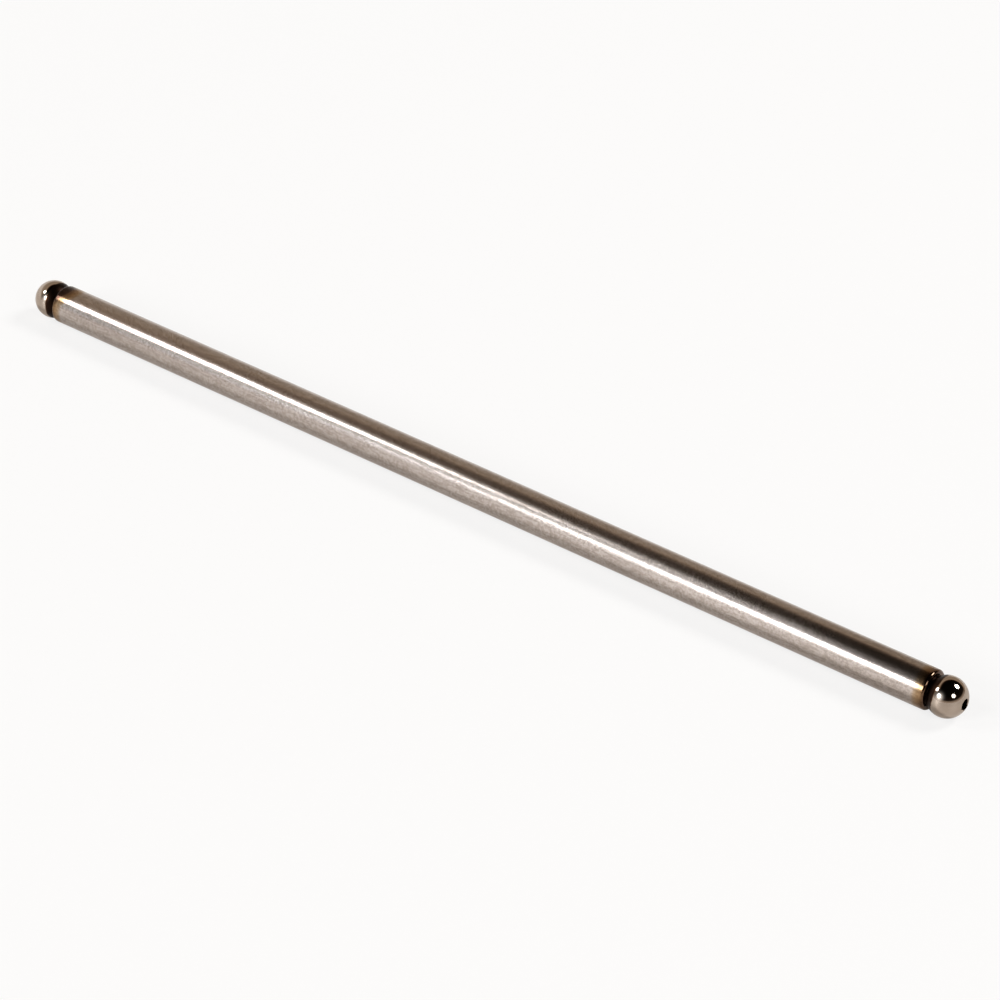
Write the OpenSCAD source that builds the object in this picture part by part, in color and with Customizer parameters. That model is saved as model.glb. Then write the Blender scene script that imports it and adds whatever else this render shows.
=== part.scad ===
// Engine pushrod: a straight steel tube with a drilled ball end seated in each of its mouths.
// Oil runs through the ball ends and the hollow tube from one end of the rod to the other.
// The rod lies along X with the middle of its length at the origin. Sizes are in millimetres.

/* [Rod] */
// Length over both balls, as if no oil hole had cut their tips
overall_length = 228.6; // [150:0.1:320]

/* [Tube] */
// Outside diameter of the tube
tube_d = 7.94; // [6.6:0.02:9.5]
// Thickness of the tube's wall
tube_wall = 1.65; // [1:0.05:2.2]
// Rounding of the outer edge at each end of the tube
tube_edge_r = 0.6; // [0.2:0.05:0.9]
// Bevel inside each mouth of the tube
bore_bevel = 0.25; // [0.1:0.05:0.4]

/* [Ball ends] */
// Diameter of each ball
ball_d = 7.94; // [6.4:0.02:9.5]
// Distance from each ball's centre back to the end of the tube
shoulder_back = 2.8; // [2.4:0.05:4.5]
// Width of the shoulder that seats on the end of the tube
shoulder_w = 0.65; // [0.45:0.05:0.9]
// Length of the shank inside the tube
shank_length = 12; // [6:0.5:25]
// Bevel that leads the shank into the tube
shank_bevel = 0.4; // [0.2:0.1:0.8]

/* [Oil passage] */
// Diameter of the oil hole through each ball end
oil_hole_d = 2.1; // [1.2:0.1:2.8]
// Bevel at the outer mouth of the oil hole
oil_hole_bevel = 0.15; // [0.05:0.05:0.3]
// Bevel at the inner mouth of the oil hole
oil_inlet_bevel = 0.25; // [0.1:0.05:0.5]

/* [Fits] */
// Room between the shank and the tube's bore, all round
shank_room = 0.02; // [0.01:0.01:0.06]

/* [Hidden] */
$fn = 96;

// Length by which a cutting shape runs past the face that it cuts
overrun = 1;

bore_d = tube_d - 2 * tube_wall;
shank_d = bore_d - 2 * shank_room;
neck_d = bore_d + 2 * shoulder_w;

// Distance from the ball's centre back to the inner end of the shank
shank_back = shoulder_back + shank_length;
// Distance from the ball's centre out to the rim of the oil hole
rim_out = sqrt(pow(ball_d / 2, 2) - pow(oil_hole_d / 2 + oil_hole_bevel, 2));

// Distance from the middle of the rod to each ball's centre
ball_at = (overall_length - ball_d) / 2;
tube_length = 2 * (ball_at - shoulder_back);

// Lays a shape that was built along Z along X
module along_x() {
    rotate([0, 90, 0])
        children();
}

// What an outer edge loses when it is rounded, with the edge's corner at the origin
module edge_waste(radius) {
    translate([-radius, -radius])
        difference() {
            square(radius + overrun);
            circle(radius);
        }
}

// One half of the tube's wall in section, from the middle of its length to one end
module wall_section() {
    difference() {
        translate([bore_d / 2, 0])
            square([tube_wall, tube_length / 2]);
        translate([tube_d / 2, tube_length / 2])
            edge_waste(tube_edge_r);
        translate([bore_d / 2, tube_length / 2])
            rotate(45)
                square(bore_bevel * sqrt(2), center = true);
    }
}

// Drawn and ground tube, the same from both ends
module rod_tube() {
    color("Silver")
        along_x()
            rotate_extrude() {
                wall_section();
                mirror([0, 1])
                    wall_section();
            }
}

// Ball with its back cut flat at the shoulder, where the tube's end face begins
module ball() {
    intersection() {
        sphere(d = ball_d);
        translate([0, 0, -shoulder_back])
            cylinder(d = ball_d + overrun, h = ball_d);
    }
}

// Neck with its flat shoulder, and the shank below it
module stem() {
    translate([0, 0, -shoulder_back])
        cylinder(d = neck_d, h = shoulder_back);
    translate([0, 0, shank_bevel - shank_back])
        cylinder(d = shank_d, h = shank_back - shank_bevel);
    translate([0, 0, -shank_back])
        cylinder(d1 = shank_d - 2 * shank_bevel, d2 = shank_d, h = shank_bevel);
}

// Cone that opens the oil hole out from the origin upward, past the face that it bevels
module mouth_cone(bevel) {
    reach = bevel + overrun;
    cylinder(d1 = oil_hole_d, d2 = oil_hole_d + 2 * reach, h = reach);
}

// Oil hole along the whole ball end, opened out a little at both mouths
module oil_hole() {
    translate([0, 0, -shank_back - overrun])
        cylinder(d = oil_hole_d, h = shank_back + ball_d / 2 + 2 * overrun);
    translate([0, 0, rim_out - oil_hole_bevel])
        mouth_cone(oil_hole_bevel);
    translate([0, 0, oil_inlet_bevel - shank_back])
        mirror([0, 0, 1])
            mouth_cone(oil_inlet_bevel);
}

// One ball end on Z, with the ball's centre at the origin and its tip upward
module ball_end() {
    color("Gray")
        difference() {
            union() {
                ball();
                stem();
            }
            oil_hole();
        }
}

// Ball end at +X, which works in the socket of the rocker arm
module rocker_ball_end() {
    translate([ball_at, 0, 0])
        along_x()
            ball_end();
}

// Ball end at -X, which works in the cup of the valve lifter
module lifter_ball_end() {
    mirror([1, 0, 0])
        rocker_ball_end();
}

rod_tube();
lifter_ball_end();
rocker_ball_end();
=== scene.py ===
import math

import bmesh
import bpy
from mathutils import Matrix, Vector


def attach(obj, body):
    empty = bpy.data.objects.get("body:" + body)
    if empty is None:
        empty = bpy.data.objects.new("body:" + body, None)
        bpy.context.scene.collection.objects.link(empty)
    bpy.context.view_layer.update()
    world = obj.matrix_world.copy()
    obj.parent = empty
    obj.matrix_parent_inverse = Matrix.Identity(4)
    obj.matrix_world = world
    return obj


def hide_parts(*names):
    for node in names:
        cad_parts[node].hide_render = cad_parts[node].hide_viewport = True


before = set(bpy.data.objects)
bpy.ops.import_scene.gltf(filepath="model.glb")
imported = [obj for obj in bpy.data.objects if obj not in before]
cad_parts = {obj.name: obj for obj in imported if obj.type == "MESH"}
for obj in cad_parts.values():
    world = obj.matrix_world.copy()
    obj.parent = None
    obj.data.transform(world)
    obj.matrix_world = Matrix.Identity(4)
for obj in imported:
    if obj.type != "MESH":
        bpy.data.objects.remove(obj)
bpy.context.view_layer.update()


# Rod tube
# A straight seamless steel tube, drawn, ground round its axis and rubbed lengthwise to a satin finish.
# Its outer end edges are rounded, and welding in the ball ends has left straw heat tint there.

MM = 0.001
ROD_LENGTH = 228.6 * MM
TUBE_R = 3.97 * MM
TUBE_WALL = 1.65 * MM
BORE_R = TUBE_R - TUBE_WALL
TUBE_EDGE_R = 0.6 * MM
BORE_BEVEL = 0.25 * MM
BALL_R = 3.97 * MM
BALL_AT = ROD_LENGTH / 2 - BALL_R
SHOULDER_BACK = 2.8 * MM
TUBE_HALF = BALL_AT - SHOULDER_BACK

# Rows of faces round the axis, along the tube, over its rounded edge and across its end face
LATHE_SIDES = 160
LENGTH_ROWS = 46
EDGE_ROWS = 14
END_ROWS = 3
# A narrow row before the rounded edge keeps the shading of the long rows straight
EDGE_BRACE = 0.3 * MM
MERGE_WITHIN = 0.001 * MM
SHARP_ANGLE = math.radians(32)

# The bare steel, the paler clouds in it and the dark grain that rubbing leaves on it
STEEL = (0.47, 0.414, 0.378, 1)
STEEL_PALER = (0.51, 0.452, 0.414, 1)
STEEL_GRAIN = (0.34, 0.287, 0.252, 1)
CLOUD_SHARE = [(0.3, 0.0), (0.7, 1.0)]
GRAIN_SHARE = [(0.43, 0.0), (0.57, 0.9)]
SATIN_IN_GRAIN = 0.6

# Noise cells in a metre. The rubbing marks are drawn out along the tube and lie close round it.
CLOUD_CELLS = 60
HEAT_CELLS = 260
SATIN_CELLS = 1900
MARK_CELLS = 3200
SCRATCH_CELLS = 16000
MARK_DRAW = (0.12, 1.0, 1.0)

# Heat tint from the weld, as the share of TINT_LENGTH and what is left of the steel's colour: dark
# scale, brown, straw and a pale fringe. The darkest part, TINT_SKIP long, shows only on the top
# above HOT_ABOVE, where the heat ran further, and more so at the lifter's end than at the other.
TINT_LENGTH = 5 * MM
TINT_SKIP = 1 * MM
TINT_WANDER = 0.6 * MM
HOT_ABOVE = 2 * MM
HOT_SHARE = 0.75
HOT_CHANGE = 0.6
HEAT_TINT = [
    (0.0, (0.09, 0.055, 0.045)), (0.13, (0.13, 0.08, 0.06)), (0.21, (0.36, 0.25, 0.18)),
    (0.3, (0.44, 0.3, 0.175)), (0.44, (0.68, 0.5, 0.3)), (0.6, (0.83, 0.7, 0.52)),
    (0.72, (1.0, 1.0, 1.0))]

# Towards the rocker arm's end the tube has fewer scratches, and there its colour is darkened as painted
# shade, which deepens the dark reflections on that end
ROCKER_END_LENGTH = 28 * MM
SCRATCH_AND_SHADE_SHARE = [(0.45, 0.45), (1.0, 1.0)]
ROCKER_END_PAINTED_SHADE = [(0.45, (0.87, 0.86, 0.85)), (1.0, (1.0, 1.0, 1.0))]

# Roughness of the satin, what its unevenness and its fine scratches add, and what the edge has lost
SATIN_ROUGH = 0.168
UNEVEN_ROUGH = 0.04
SCRATCH_ROUGH = [(0.5, 0.0), (0.6, 0.112)]
EDGE_LENGTH = 1.2 * MM
EDGE_SMOOTH = [(0.0, 0.12), (1.0, 0.0)]
MARK_DEPTH = 0.006 * MM
MARK_STRENGTH = 0.8


def put(tree, kind, inputs=None, **settings):
    """Adds a node to a tree, with each named input given a value or another node's output."""
    made = tree.nodes.new(kind)
    for name, value in settings.items():
        setattr(made, name, value)
    for socket, value in (inputs or {}).items():
        if isinstance(value, bpy.types.NodeSocket):
            tree.links.new(value, made.inputs[socket])
        else:
            made.inputs[socket].default_value = value
    return made


def reckon(tree, operation, *values):
    """Output of one sum on sockets or numbers."""
    made = put(tree, "ShaderNodeMath", dict(enumerate(values)), operation=operation)
    return made.outputs[0]


class Lathe:
    """A Geometry Nodes tree that turns a section of lines and arcs round X into one closed skin."""

    def __init__(self, name, sizes, material):
        self.sizes = sizes
        self.material = material
        self.lines = []
        self.tree = bpy.data.node_groups.new(name, "GeometryNodeTree")
        self.tree.interface.new_socket("Geometry", in_out="OUTPUT", socket_type="NodeSocketGeometry")
        for size in sizes:
            self.tree.interface.new_socket(size, in_out="INPUT", socket_type="NodeSocketFloat")
        self.tree.interface.new_socket("Sides", in_out="INPUT", socket_type="NodeSocketInt")
        self.size = self.tree.nodes.new("NodeGroupInput").outputs

    def plus(self, *values):
        """Adds sizes and numbers up."""
        total = values[0]
        for value in values[1:]:
            total = reckon(self.tree, "ADD", total, value)
        return total

    def less(self, first, *others):
        """Takes sizes and numbers away from the first."""
        for value in others:
            first = reckon(self.tree, "SUBTRACT", first, value)
        return first

    def times(self, first, second):
        """Multiplies two sizes or numbers."""
        return reckon(self.tree, "MULTIPLY", first, second)

    def spot(self, along, out):
        """A point of the section, by its place along the axis and its distance from it."""
        return put(self.tree, "ShaderNodeCombineXYZ", {"X": along, "Y": out}).outputs[0]

    def line(self, start, end, rows=1):
        """A straight stretch of the section, in so many rows of faces."""
        drawn = put(self.tree, "GeometryNodeCurvePrimitiveLine", {"Start": start, "End": end})
        rowed = put(self.tree, "GeometryNodeResampleCurve", {
            "Curve": drawn.outputs[0], "Count": rows + 1})
        self.lines.append(rowed.outputs[0])

    def arc(self, centre, radius, start, sweep, rows):
        """A round stretch of the section, from one angle through another, with the axis at angle 0."""
        drawn = put(self.tree, "GeometryNodeCurveArc", {
            "Resolution": rows + 1, "Radius": radius, "Start Angle": start, "Sweep Angle": sweep})
        moved = put(self.tree, "GeometryNodeTransform", {
            "Geometry": drawn.outputs[0], "Translation": centre})
        self.lines.append(moved.outputs[0])

    def turn(self, around):
        """Sweeps the section round a circle of that radius on the axis and closes the skin."""
        tree = self.tree
        section = tree.nodes.new("GeometryNodeJoinGeometry")
        for line in self.lines:
            tree.links.new(line, section.inputs[0])
        # The sweep lays the section's X along the circle's radius and its Y against the axis.
        stood = put(tree, "GeometryNodeTransform", {
            "Geometry": section.outputs[0], "Rotation": (0, 0, -math.pi / 2)})
        outward = put(tree, "ShaderNodeCombineXYZ", {"X": self.times(around, -1)})
        seated = put(tree, "GeometryNodeTransform", {
            "Geometry": stood.outputs[0], "Translation": outward.outputs[0]})
        path = put(tree, "GeometryNodeCurvePrimitiveCircle", {
            "Resolution": self.size["Sides"], "Radius": around})
        upright = put(tree, "GeometryNodeSetCurveNormal", {"Curve": path.outputs[0]}, mode="Z_UP")
        swept = put(tree, "GeometryNodeCurveToMesh", {
            "Curve": upright.outputs[0], "Profile Curve": seated.outputs[0]})
        laid = put(tree, "GeometryNodeTransform", {
            "Geometry": swept.outputs[0], "Rotation": (0, math.pi / 2, 0)})
        closed = put(tree, "GeometryNodeMergeByDistance", {
            "Geometry": laid.outputs[0], "Distance": MERGE_WITHIN})
        real = put(tree, "GeometryNodeRealizeInstances", {"Geometry": closed.outputs[0]})
        dressed = put(tree, "GeometryNodeSetMaterial", {
            "Geometry": real.outputs[0], "Material": self.material})
        put(tree, "NodeGroupOutput", {0: dressed.outputs[0]})

    def piece(self, name, sides):
        """Runs the tree with its sizes and returns the finished, outward-facing mesh object."""
        blank = bpy.data.objects.new(name + "_blank", bpy.data.meshes.new(name + "_blank"))
        bpy.context.scene.collection.objects.link(blank)
        turned = blank.modifiers.new("turned", "NODES")
        turned.node_group = self.tree
        for item in self.tree.interface.items_tree:
            if item.in_out == "INPUT":
                turned[item.identifier] = sides if item.name == "Sides" else self.sizes[item.name]
        blank_now = blank.evaluated_get(bpy.context.evaluated_depsgraph_get())
        skin = bpy.data.meshes.new_from_object(blank_now)
        bpy.data.objects.remove(blank)
        work = bmesh.new()
        work.from_mesh(skin)
        bmesh.ops.recalc_face_normals(work, faces=work.faces)
        work.to_mesh(skin)
        work.free()
        skin.name = name
        skin.shade_smooth()
        skin.set_sharp_from_angle(angle=SHARP_ANGLE)
        made = bpy.data.objects.new(name, skin)
        bpy.context.scene.collection.objects.link(made)
        return made


def finish_named(name):
    """A new node material with its shader, ready for the nodes that feed it."""
    material = bpy.data.materials.new(name)
    material.use_nodes = True
    return material, material.node_tree, material.node_tree.nodes["Principled BSDF"]


def ramp(tree, factor, stops):
    """Colours or greys that follow a factor, as pairs of place and colour."""
    made = put(tree, "ShaderNodeValToRGB", {"Fac": factor})
    while len(made.color_ramp.elements) < len(stops):
        made.color_ramp.elements.new(1)
    for element, (place, shade) in zip(made.color_ramp.elements, stops):
        element.position = place
        element.color = (*shade, 1) if isinstance(shade, tuple) else (shade, shade, shade, 1)
    return made.outputs[0]


def speckle(tree, where, cells, detail=2.0, roughness=0.5):
    """Noise from 0 to 1 at a point, with so many cells in a metre."""
    made = put(tree, "ShaderNodeTexNoise", {
        "Vector": where, "Scale": cells, "Detail": detail, "Roughness": roughness})
    return made.outputs["Fac"]


def mixed(tree, factor, first, second, mode="MIX"):
    """One colour laid over another by a factor."""
    made = put(tree, "ShaderNodeMix", {"Factor": factor, "A": first, "B": second},
               data_type="RGBA", blend_type=mode)
    return made.outputs["Result"]


ground_steel, tree, shader = finish_named("ground_steel")
place = tree.nodes.new("ShaderNodeTexCoord").outputs["Object"]
axes = put(tree, "ShaderNodeSeparateXYZ", {"Vector": place}).outputs
from_end = reckon(tree, "SUBTRACT", TUBE_HALF, reckon(tree, "ABSOLUTE", axes["X"]))
from_rocker = reckon(tree, "SUBTRACT", TUBE_HALF, axes["X"])

cloud = speckle(tree, place, CLOUD_CELLS)
satin = speckle(tree, place, SATIN_CELLS, detail=3.0, roughness=0.65)
mark_at = put(tree, "ShaderNodeVectorMath", {0: place, 1: MARK_DRAW}, operation="MULTIPLY")
marks = speckle(tree, mark_at.outputs[0], MARK_CELLS, detail=3.0, roughness=0.6)
grain = reckon(tree, "MULTIPLY_ADD", satin, SATIN_IN_GRAIN,
               reckon(tree, "MULTIPLY", marks, 1 - SATIN_IN_GRAIN))
steel = mixed(tree, ramp(tree, cloud, CLOUD_SHARE), STEEL, STEEL_PALER)
steel = mixed(tree, ramp(tree, grain, GRAIN_SHARE), steel, STEEL_GRAIN)

uneven = reckon(tree, "MULTIPLY_ADD", speckle(tree, place, HEAT_CELLS), TINT_WANDER, -TINT_WANDER / 2)
hot_share = reckon(tree, "MULTIPLY_ADD", axes["X"], -HOT_CHANGE / TUBE_HALF, HOT_SHARE)
above = reckon(tree, "MAXIMUM", reckon(tree, "SUBTRACT", axes["Z"], HOT_ABOVE), 0.0)
hot = reckon(tree, "MULTIPLY_ADD", above, hot_share, -TINT_SKIP)
cooled = reckon(tree, "SUBTRACT", reckon(tree, "ADD", from_end, uneven), hot)
tint = ramp(tree, reckon(tree, "DIVIDE", cooled, TINT_LENGTH), HEAT_TINT)
# Fewer scratches towards the rocker arm's end, and painted shade that darkens the steel's colour there
scratch_and_shade_share = ramp(tree, reckon(tree, "DIVIDE", from_rocker, ROCKER_END_LENGTH), SCRATCH_AND_SHADE_SHARE)
rocker_end_painted_shade = ramp(tree, scratch_and_shade_share, ROCKER_END_PAINTED_SHADE)
tinted_and_shaded = mixed(tree, 1.0, steel, tint, "MULTIPLY")
tinted_and_shaded = mixed(tree, 1.0, tinted_and_shaded, rocker_end_painted_shade, "MULTIPLY")
tree.links.new(tinted_and_shaded, shader.inputs["Base Color"])

scratches = ramp(tree, speckle(tree, place, SCRATCH_CELLS, detail=1.0), SCRATCH_ROUGH)
scratched = reckon(tree, "MULTIPLY_ADD", scratches, scratch_and_shade_share, SATIN_ROUGH)
rough = reckon(tree, "MULTIPLY_ADD", satin, UNEVEN_ROUGH, scratched)
smoother = ramp(tree, reckon(tree, "DIVIDE", from_end, EDGE_LENGTH), EDGE_SMOOTH)
tree.links.new(reckon(tree, "SUBTRACT", rough, smoother), shader.inputs["Roughness"])
bumped = put(tree, "ShaderNodeBump", {
    "Strength": MARK_STRENGTH, "Distance": MARK_DEPTH, "Height": marks})
tree.links.new(bumped.outputs[0], shader.inputs["Normal"])
shader.inputs["Metallic"].default_value = 1.0

lathe = Lathe("turned_tube", {
    "Outer radius": TUBE_R, "Bore radius": BORE_R, "Half length": TUBE_HALF,
    "Edge radius": TUBE_EDGE_R, "Bore bevel": BORE_BEVEL}, ground_steel)
outer, bore, half = (lathe.size[s] for s in ("Outer radius", "Bore radius", "Half length"))
edge, bevel = (lathe.size[s] for s in ("Edge radius", "Bore bevel"))
braces = []
bevels = []
for side in (1, -1):
    end = lathe.times(half, side)
    round_from = lathe.times(lathe.less(half, edge), side)
    braces.append(lathe.times(lathe.less(half, edge, EDGE_BRACE), side))
    bevels.append(lathe.times(lathe.less(half, bevel), side))
    face_top = lathe.less(outer, edge)
    face_foot = lathe.plus(bore, bevel)
    lathe.line(lathe.spot(braces[-1], outer), lathe.spot(round_from, outer))
    lathe.arc(lathe.spot(round_from, face_top), edge, math.pi / 2, -side * math.pi / 2, EDGE_ROWS)
    lathe.line(lathe.spot(end, face_top), lathe.spot(end, face_foot), END_ROWS)
    lathe.line(lathe.spot(end, face_foot), lathe.spot(bevels[-1], bore))
lathe.line(lathe.spot(braces[0], outer), lathe.spot(braces[1], outer), LENGTH_ROWS)
lathe.line(lathe.spot(bevels[0], bore), lathe.spot(bevels[1], bore), LENGTH_ROWS)
lathe.turn(outer)
ground_tube = lathe.piece("ground_tube", LATHE_SIDES)
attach(ground_tube, "root")
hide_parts("rod_tube")


# Ball ends
# Two like pieces turned from alloy steel, hardened, and polished on the working part of the ball.
# Each has a shoulder that seats on the tube, a shank in its bore and a drilled oil hole, and is
# welded in, which blackens the neck and the back of the ball.

SHOULDER_W = 0.65 * MM
SHANK_ROOM = 0.02 * MM
SHANK_LENGTH = 12 * MM
SHANK_BEVEL = 0.4 * MM
OIL_HOLE_R = 1.05 * MM
MOUTH_BEVEL = 0.15 * MM
INLET_BEVEL = 0.25 * MM
NECK_R = BORE_R + SHOULDER_W
SHANK_R = BORE_R - SHANK_ROOM
NECK_TURN = math.acos(-math.sqrt(1 - (NECK_R / BALL_R) ** 2))
RIM_TURN = math.asin((OIL_HOLE_R + MOUTH_BEVEL) / BALL_R)

# Rows of faces over the ball, along the neck and across its shoulder, on the shank and in the oil hole
BALL_ROWS = 88
NECK_ROWS = 2
SHANK_ROWS = 8
HOLE_ROWS = 12

# The polished steel, in two shades of a faint haze, and the dark of the drilled hole, which is partly oil
# stain and partly painted shade
POLISHED = (0.39, 0.315, 0.255, 1)
POLISHED_PALER = (0.45, 0.375, 0.315, 1)
OIL_STAIN_AND_SHADE = (0.05, 0.035, 0.025, 1)
STAIN_AND_SHADE_REACH = 2 * MM
STAIN_AND_SHADE_SHARE = [(0.53, 1.0), (0.56, 0.0)]

# Heat scale, as the share of SCALE_LENGTH up to the ball's middle and what is left of the steel's
# colour: black on the neck and the back of the ball, then a thin brown fringe. Its edge wanders and
# lies a little further forward at the top.
SCALE_LENGTH = 3 * MM
SCALE_WANDER = 0.5 * MM
SCALE_SLOPE = -0.05
SCALE_TINT = [
    (0.0, (0.03, 0.018, 0.014)), (0.59, (0.045, 0.026, 0.018)),
    (0.64, (0.2, 0.11, 0.055)), (0.69, (1.0, 1.0, 1.0))]
CLEAN_SHARE = [(0.59, 0.0), (0.69, 1.0)]

# Noise cells and turning rings in a metre, roughness of the polish and of the scale, and the rings' depth
HAZE_CELLS = 420
SCALE_CELLS = 500
RUB_CELLS = 2600
RING_CELLS = 9000
POLISH_ROUGH = 0.045
RUB_ROUGH = 0.04
SCALE_ROUGH = 0.3
RING_DEPTH = 0.001 * MM
RING_STRENGTH = 0.06

polished_steel, tree, shader = finish_named("polished_steel")
place = tree.nodes.new("ShaderNodeTexCoord").outputs["Object"]
axes = put(tree, "ShaderNodeSeparateXYZ", {"Vector": place}).outputs
from_centre = reckon(tree, "SUBTRACT", reckon(tree, "ABSOLUTE", axes["X"]), BALL_AT)
across = put(tree, "ShaderNodeCombineXYZ", {"X": axes["Y"], "Y": axes["Z"]}).outputs[0]
from_axis = put(tree, "ShaderNodeVectorMath", {0: across}, operation="LENGTH").outputs["Value"]

wander = reckon(tree, "MULTIPLY_ADD", speckle(tree, place, SCALE_CELLS, detail=3.0),
                SCALE_WANDER, -SCALE_WANDER / 2)
sloped = reckon(tree, "MULTIPLY_ADD", axes["Z"], SCALE_SLOPE, wander)
from_scale = reckon(tree, "ADD", reckon(tree, "ADD", from_centre, sloped), SCALE_LENGTH)
scale_at = reckon(tree, "DIVIDE", from_scale, SCALE_LENGTH)
bright = mixed(tree, speckle(tree, place, HAZE_CELLS), POLISHED, POLISHED_PALER)
worn = mixed(tree, 1.0, bright, ramp(tree, scale_at, SCALE_TINT), "MULTIPLY")
# The drilled hole is painted dark near the axis, partly as oil stain and partly as the shade inside it
stained_and_shaded = ramp(tree, reckon(tree, "DIVIDE", from_axis, STAIN_AND_SHADE_REACH), STAIN_AND_SHADE_SHARE)
worn = mixed(tree, stained_and_shaded, worn, OIL_STAIN_AND_SHADE)
tree.links.new(worn, shader.inputs["Base Color"])

rubbed = speckle(tree, place, RUB_CELLS)
gloss = reckon(tree, "MULTIPLY_ADD", rubbed, RUB_ROUGH, POLISH_ROUGH)
dull = reckon(tree, "MULTIPLY_ADD", ramp(tree, scale_at, CLEAN_SHARE), -SCALE_ROUGH, SCALE_ROUGH)
tree.links.new(reckon(tree, "ADD", gloss, dull), shader.inputs["Roughness"])
ring_at = put(tree, "ShaderNodeCombineXYZ", {"X": reckon(tree, "MULTIPLY", axes["X"], RING_CELLS)})
rings = speckle(tree, ring_at.outputs[0], 1.0)
bumped = put(tree, "ShaderNodeBump", {
    "Strength": RING_STRENGTH, "Distance": RING_DEPTH, "Height": reckon(tree, "ADD", rings, rubbed)})
tree.links.new(bumped.outputs[0], shader.inputs["Normal"])
shader.inputs["Metallic"].default_value = 1.0

lathe = Lathe("turned_ball_end", {
    "Ball place": BALL_AT, "Ball radius": BALL_R, "Shoulder back": SHOULDER_BACK, "Neck radius": NECK_R,
    "Neck angle": NECK_TURN, "Rim angle": RIM_TURN, "Shank radius": SHANK_R, "Shank length": SHANK_LENGTH,
    "Shank bevel": SHANK_BEVEL, "Oil hole radius": OIL_HOLE_R, "Mouth bevel": MOUTH_BEVEL,
    "Inlet bevel": INLET_BEVEL}, polished_steel)
size = lathe.size
middle, ball = size["Ball place"], size["Ball radius"]
hole, neck, shank = (size[s] for s in ("Oil hole radius", "Neck radius", "Shank radius"))
neck_turn, rim_turn = size["Neck angle"], size["Rim angle"]
neck_top = lathe.plus(middle, lathe.times(ball, reckon(lathe.tree, "COSINE", neck_turn)))
rim = lathe.plus(middle, lathe.times(ball, reckon(lathe.tree, "COSINE", rim_turn)))
mouth = lathe.less(rim, size["Mouth bevel"])
shoulder = lathe.less(middle, size["Shoulder back"])
tail = lathe.less(shoulder, size["Shank length"])
shank_end = lathe.plus(tail, size["Shank bevel"])
shank_tip = lathe.less(shank, size["Shank bevel"])
inlet_end = lathe.plus(tail, size["Inlet bevel"])
inlet = lathe.plus(hole, size["Inlet bevel"])
lathe.arc(lathe.spot(middle, 0.0), ball, rim_turn, lathe.less(neck_turn, rim_turn), BALL_ROWS)
lathe.line(lathe.spot(neck_top, neck), lathe.spot(shoulder, neck), NECK_ROWS)
lathe.line(lathe.spot(shoulder, neck), lathe.spot(shoulder, shank), NECK_ROWS)
lathe.line(lathe.spot(shoulder, shank), lathe.spot(shank_end, shank), SHANK_ROWS)
lathe.line(lathe.spot(shank_end, shank), lathe.spot(tail, shank_tip))
lathe.line(lathe.spot(tail, shank_tip), lathe.spot(tail, inlet))
lathe.line(lathe.spot(tail, inlet), lathe.spot(inlet_end, hole))
lathe.line(lathe.spot(inlet_end, hole), lathe.spot(mouth, hole), HOLE_ROWS)
lathe.line(lathe.spot(mouth, hole), lathe.spot(rim, lathe.plus(hole, size["Mouth bevel"])))
lathe.turn(ball)
rocker_ball = lathe.piece("polished_ball_rocker", LATHE_SIDES)

lifter_skin = rocker_ball.data.copy()
lifter_skin.name = "polished_ball_lifter"
lifter_skin.transform(Matrix.Scale(-1, 4, Vector((1, 0, 0))))
lifter_skin.flip_normals()
lifter_ball = bpy.data.objects.new("polished_ball_lifter", lifter_skin)
bpy.context.scene.collection.objects.link(lifter_ball)

for ball, node in ((rocker_ball, "rocker_ball_end"), (lifter_ball, "lifter_ball_end")):
    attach(ball, "root")
    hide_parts(node)


# Floor
# A plain board covered in warm white paper with a soft gloss, on which the rod lies. The camera sees
# it mostly as white, with the rod's soft shadow on it, and the metal mirrors the lit paper.

FLOOR_HALF = 6.0
PAPER = (0.8, 0.75, 0.7, 1)
PAPER_PALER = (0.84, 0.79, 0.74, 1)
PAPER_CELLS = 900
GLOSS_CELLS = 300
PAPER_ROUGH = 0.42
PAPER_UNEVEN = 0.06
PAPER_SPECULAR = 0.35
WHITE = (1, 1, 1, 1)
WHITE_SEEN = 0.8
WHITE_MIRRORED = 0.05

white_board, tree, shader = finish_named("white_board")
place = tree.nodes.new("ShaderNodeTexCoord").outputs["Object"]
paper = mixed(tree, speckle(tree, place, PAPER_CELLS), PAPER, PAPER_PALER)
tree.links.new(paper, shader.inputs["Base Color"])
rough = reckon(tree, "MULTIPLY_ADD", speckle(tree, place, GLOSS_CELLS), PAPER_UNEVEN, PAPER_ROUGH)
tree.links.new(rough, shader.inputs["Roughness"])
shader.inputs["Specular IOR Level"].default_value = PAPER_SPECULAR
white = put(tree, "ShaderNodeEmission", {"Color": WHITE, "Strength": 1.0})
path = tree.nodes.new("ShaderNodeLightPath").outputs
seen = reckon(tree, "MAXIMUM", path["Is Camera Ray"], path["Is Transmission Ray"])
share = reckon(tree, "MAXIMUM", reckon(tree, "MULTIPLY", seen, WHITE_SEEN),
               reckon(tree, "MULTIPLY", path["Is Glossy Ray"], WHITE_MIRRORED))
board = put(tree, "ShaderNodeMixShader", {0: share, 1: shader.outputs[0], 2: white.outputs[0]})
tree.links.new(board.outputs[0], tree.nodes["Material Output"].inputs["Surface"])

skin = bpy.data.meshes.new("floor")
corners = [(x * FLOOR_HALF, y * FLOOR_HALF, -TUBE_R) for x, y in ((-1, -1), (1, -1), (1, 1), (-1, 1))]
skin.from_pydata(corners, [], [(0, 1, 2, 3)])
skin.materials.append(white_board)
floor = bpy.data.objects.new("floor", skin)
bpy.context.scene.collection.objects.link(floor)


# Studio
# Four round lamps, two at the left and two at the right, in a room that is pale near the table and
# dark overhead, which is what the metal mirrors. The lower left lamp lights the wall beside it.

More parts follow.
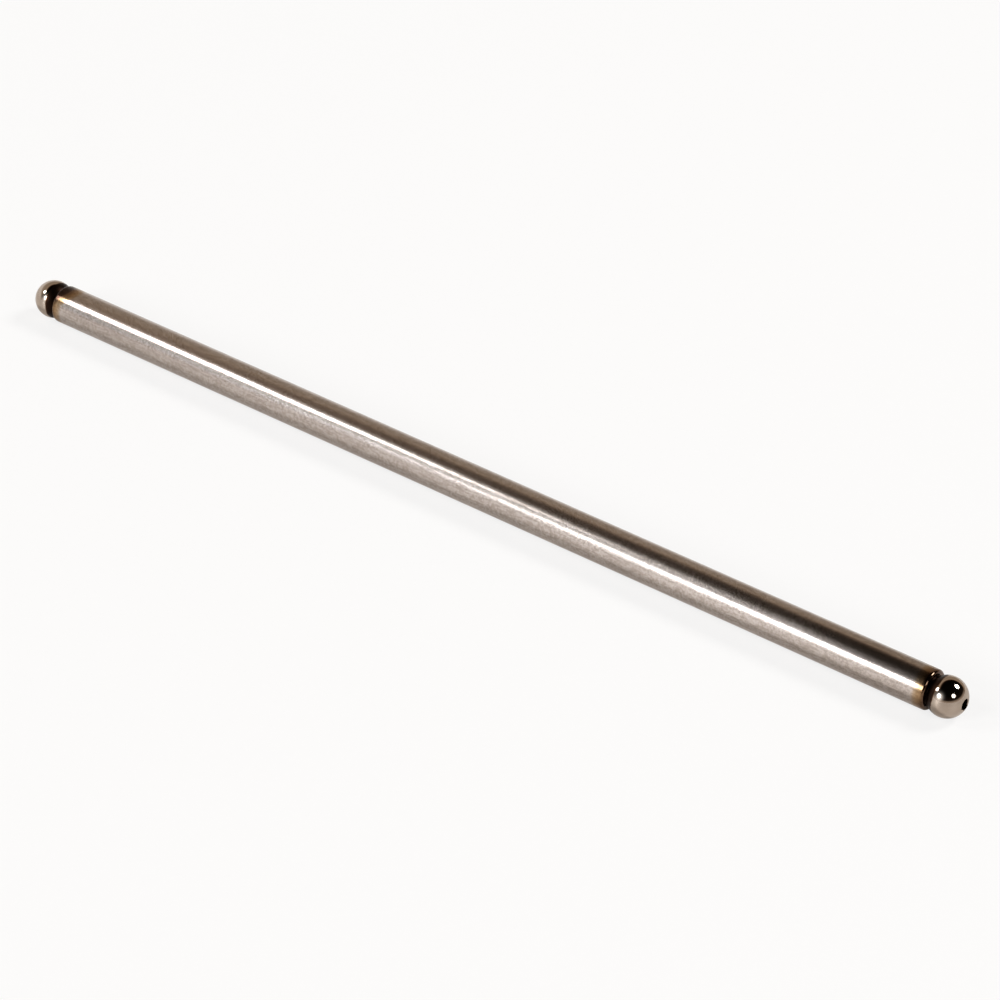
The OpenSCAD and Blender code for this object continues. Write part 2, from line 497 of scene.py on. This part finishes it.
# Each lamp's direction from the rod's middle, its width and its share of the full glare
LAMP_AWAY = 2.4
LAMP_GLARE = 14.2
LAMP_TINT = (0.94, 0.97, 1.0)
LAMPS = {
    "left_high": ((-0.652, -0.407, 0.64), 0.655, 1.0),
    "left_low": ((-0.285, -0.847, 0.449), 0.84, 1.0),
    "right_high": ((0.42, 0.56, 0.71), 0.8, 1.8),
    "right_low": ((0.78, -0.25, 0.57), 0.8, 0.45)}

# Colours of the walls by height, and the lean that the back wall's bands have along the rod
BACK_WAY = (-0.75, 0.66, 0.0)
BACK_FROM = -0.1
BACK_TO = 0.4
BACK_LEAN = (0.7, 0.0, 1.0)
BACK_LIFT = 0.35
BACK_WALL = [
    (0.0, (1.0, 0.97, 0.94)), (0.12, (0.55, 0.47, 0.4)), (0.4, (0.46, 0.385, 0.31)),
    (0.56, (0.44, 0.36, 0.285)), (0.68, (0.6, 0.49, 0.38)), (0.76, (0.34, 0.245, 0.175)),
    (0.84, (0.02, 0.01, 0.005)), (1.0, (0.003, 0.002, 0.001))]
FRONT_WALL = [
    (0.0, (1.0, 0.97, 0.94)), (0.1, (0.55, 0.47, 0.41)), (0.19, (0.35, 0.29, 0.235)),
    (0.27, (0.02, 0.013, 0.01)), (0.6, (0.004, 0.003, 0.002))]
# The lit patch of wall fades out over GLOW_SPREAD, in radians
GLOW_WAY = Vector((-0.274, -0.885, 0.37)).normalized()
GLOW_SPREAD = 0.262
GLOW = (2.8, 3.0, 3.2, 1)

for name, (way, across, share) in LAMPS.items():
    light = bpy.data.lights.new(name, "AREA")
    light.shape = "DISK"
    light.size = across
    light.color = LAMP_TINT
    # A disc's power is its glare times pi times its area.
    light.energy = share * LAMP_GLARE * math.pi * math.pi * (across / 2) ** 2
    lamp = bpy.data.objects.new(name, light)
    lamp.location = Vector(way).normalized() * LAMP_AWAY
    lamp.rotation_euler = Vector(way).to_track_quat("Z", "Y").to_euler()
    bpy.context.scene.collection.objects.link(lamp)

room = bpy.data.worlds.new("room")
room.use_nodes = True
bpy.context.scene.world = room
tree = room.node_tree
way = tree.nodes.new("ShaderNodeTexCoord").outputs["Generated"]


def towards(direction):
    """How far the seen way points in a direction."""
    made = put(tree, "ShaderNodeVectorMath", {0: way, 1: direction}, operation="DOT_PRODUCT")
    return made.outputs["Value"]


back_share = put(tree, "ShaderNodeMapRange", {
    "Value": towards(BACK_WAY), "From Min": BACK_FROM, "From Max": BACK_TO},
    interpolation_type="SMOOTHSTEP")
back_wall = ramp(tree, reckon(tree, "ADD", towards(BACK_LEAN), BACK_LIFT), BACK_WALL)
height = put(tree, "ShaderNodeSeparateXYZ", {"Vector": way}).outputs["Z"]
front_wall = ramp(tree, height, FRONT_WALL)
walls = mixed(tree, back_share.outputs[0], front_wall, back_wall)
fall = 2 / GLOW_SPREAD ** 2
glow_share = reckon(tree, "EXPONENT", reckon(tree, "MULTIPLY_ADD", towards(GLOW_WAY), fall, -fall))
walls = mixed(tree, glow_share, walls, GLOW, "ADD")
tree.links.new(walls, tree.nodes["Background"].inputs["Color"])


# Camera
# A long lens from in front and to the right, looking down along the rod, as in the photograph.

CAMERA_TURN = math.radians(38.1)
CAMERA_TILT = math.radians(34.65)
CAMERA_LENS = 135
SENSOR_WIDTH = 36
CAMERA_AWAY = 725.3 * MM
AIM = Vector((8.26 * MM, 0, 0))
AIM_RISE = 0.5 * MM
SEEN_FROM = 0.01
SEEN_TO = 100

right = Vector((math.cos(CAMERA_TURN), math.sin(CAMERA_TURN), 0))
back = Vector((math.sin(CAMERA_TURN) * math.cos(CAMERA_TILT),
               -math.cos(CAMERA_TURN) * math.cos(CAMERA_TILT), math.sin(CAMERA_TILT)))
up = back.cross(right)
eye = bpy.data.objects.new("camera", bpy.data.cameras.new("camera"))
eye.data.lens = CAMERA_LENS
eye.data.sensor_width = SENSOR_WIDTH
eye.data.clip_start = SEEN_FROM
eye.data.clip_end = SEEN_TO
eye.matrix_world = Matrix.Translation(AIM + back * CAMERA_AWAY - up * AIM_RISE) @ Matrix(
    (right, up, back)).transposed().to_4x4()
bpy.context.scene.collection.objects.link(eye)
bpy.context.scene.camera = eye
bpy.context.scene.view_settings.view_transform = "Standard"
